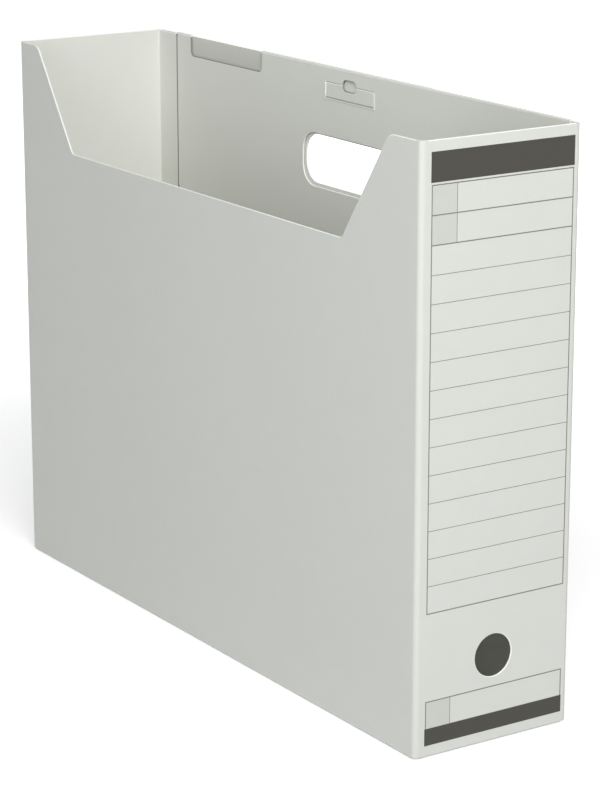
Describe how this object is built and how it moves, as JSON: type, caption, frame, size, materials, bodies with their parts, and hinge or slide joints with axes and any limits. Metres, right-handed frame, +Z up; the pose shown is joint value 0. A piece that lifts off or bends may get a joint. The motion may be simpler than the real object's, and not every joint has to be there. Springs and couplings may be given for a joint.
{
  "type": "file box",
  "caption": "Upright folded-board file box, open at the top, with a low-cut side, a hand hole, an inner flap and a spine with a finger hole; it folds flat.",
  "frame": {"origin": "middle of the footprint, on the surface that the box stands on", "axes": "+Z up; +X towards the tall side with the hand hole; -Y towards the spine with the finger hole, +Y towards the back"},
  "size_m": [0.102, 0.425, 0.33],
  "materials": {
    "board_outside": "matt grey coated board",
    "board_spine": "matt grey coated board, printed with a plain ruled table",
    "board_inside": "matt grey board, uncoated"
  },
  "bodies": {
    "tall_side": {"right_side": "board_outside", "glue_flap": "board_inside"},
    "spine": {"front_spine": "board_spine"},
    "back": {"back_panel": "board_outside"},
    "low_side": {"left_side": "board_outside"},
    "inner_flap": {"inner_flap": "board_inside"},
    "lock_tab": {"lock_tab": "board_inside"},
    "bottom_flap_right": {"bottom_flap_right": "board_outside"},
    "bottom_flap_left": {"bottom_flap_left": "board_outside"},
    "bottom_flap_front": {"bottom_flap_front": "board_inside"},
    "bottom_flap_back": {"bottom_flap_back": "board_inside"}
  },
  "joints": [
    {"name": "fold_flat", "type": "hinge", "parent": "tall_side", "child": "spine", "pos_m": [0.05, -0.2115, 0], "axis": [0, 0, -1], "range_deg": [0, 76]},
    {"name": "low_side_crease", "type": "hinge", "parent": "spine", "child": "low_side", "pos_m": [-0.05, -0.2115, 0], "axis": [0, 0, 1], "range_deg": [0, 76]},
    {"name": "back_crease", "type": "hinge", "parent": "low_side", "child": "back", "pos_m": [-0.05, 0.2115, 0], "axis": [0, 0, -1], "range_deg": [0, 76]},
    {"name": "bottom_right_crease", "type": "hinge", "parent": "tall_side", "child": "bottom_flap_right", "pos_m": [0.0497, 0, 0.001], "axis": [0, 1, 0], "range_deg": [0, 88.92]},
    {"name": "bottom_left_crease", "type": "hinge", "parent": "low_side", "child": "bottom_flap_left", "pos_m": [-0.0497, 0, 0.001], "axis": [0, -1, 0], "range_deg": [0, 88.92]},
    {"name": "bottom_front_crease", "type": "hinge", "parent": "spine", "child": "bottom_flap_front", "pos_m": [0, -0.2112, 0.0023], "axis": [1, 0, 0], "range_deg": [0, 88.92]},
    {"name": "bottom_back_crease", "type": "hinge", "parent": "back", "child": "bottom_flap_back", "pos_m": [0, 0.2112, 0.0023], "axis": [-1, 0, 0], "range_deg": [0, 88.92]},
    {"name": "flap_crease", "type": "hinge", "parent": "tall_side", "child": "inner_flap", "pos_m": [0.04985, 0, 0.33], "axis": [0, 1, 0], "range_deg": [0, 180]},
    {"name": "tab_crease", "type": "hinge", "parent": "inner_flap", "child": "lock_tab", "pos_m": [0.0487, -0.0035, 0.3125], "axis": [0, -1, 0], "range_deg": [0, 90]}
  ],
  "couplings": [
    {"joint": "low_side_crease", "follows": "fold_flat", "ratio": 1},
    {"joint": "back_crease", "follows": "fold_flat", "ratio": 1},
    {"joint": "bottom_right_crease", "follows": "fold_flat", "ratio": 1.17},
    {"joint": "bottom_left_crease", "follows": "fold_flat", "ratio": 1.17},
    {"joint": "bottom_front_crease", "follows": "fold_flat", "ratio": 1.17},
    {"joint": "bottom_back_crease", "follows": "fold_flat", "ratio": 1.17}
  ]
}
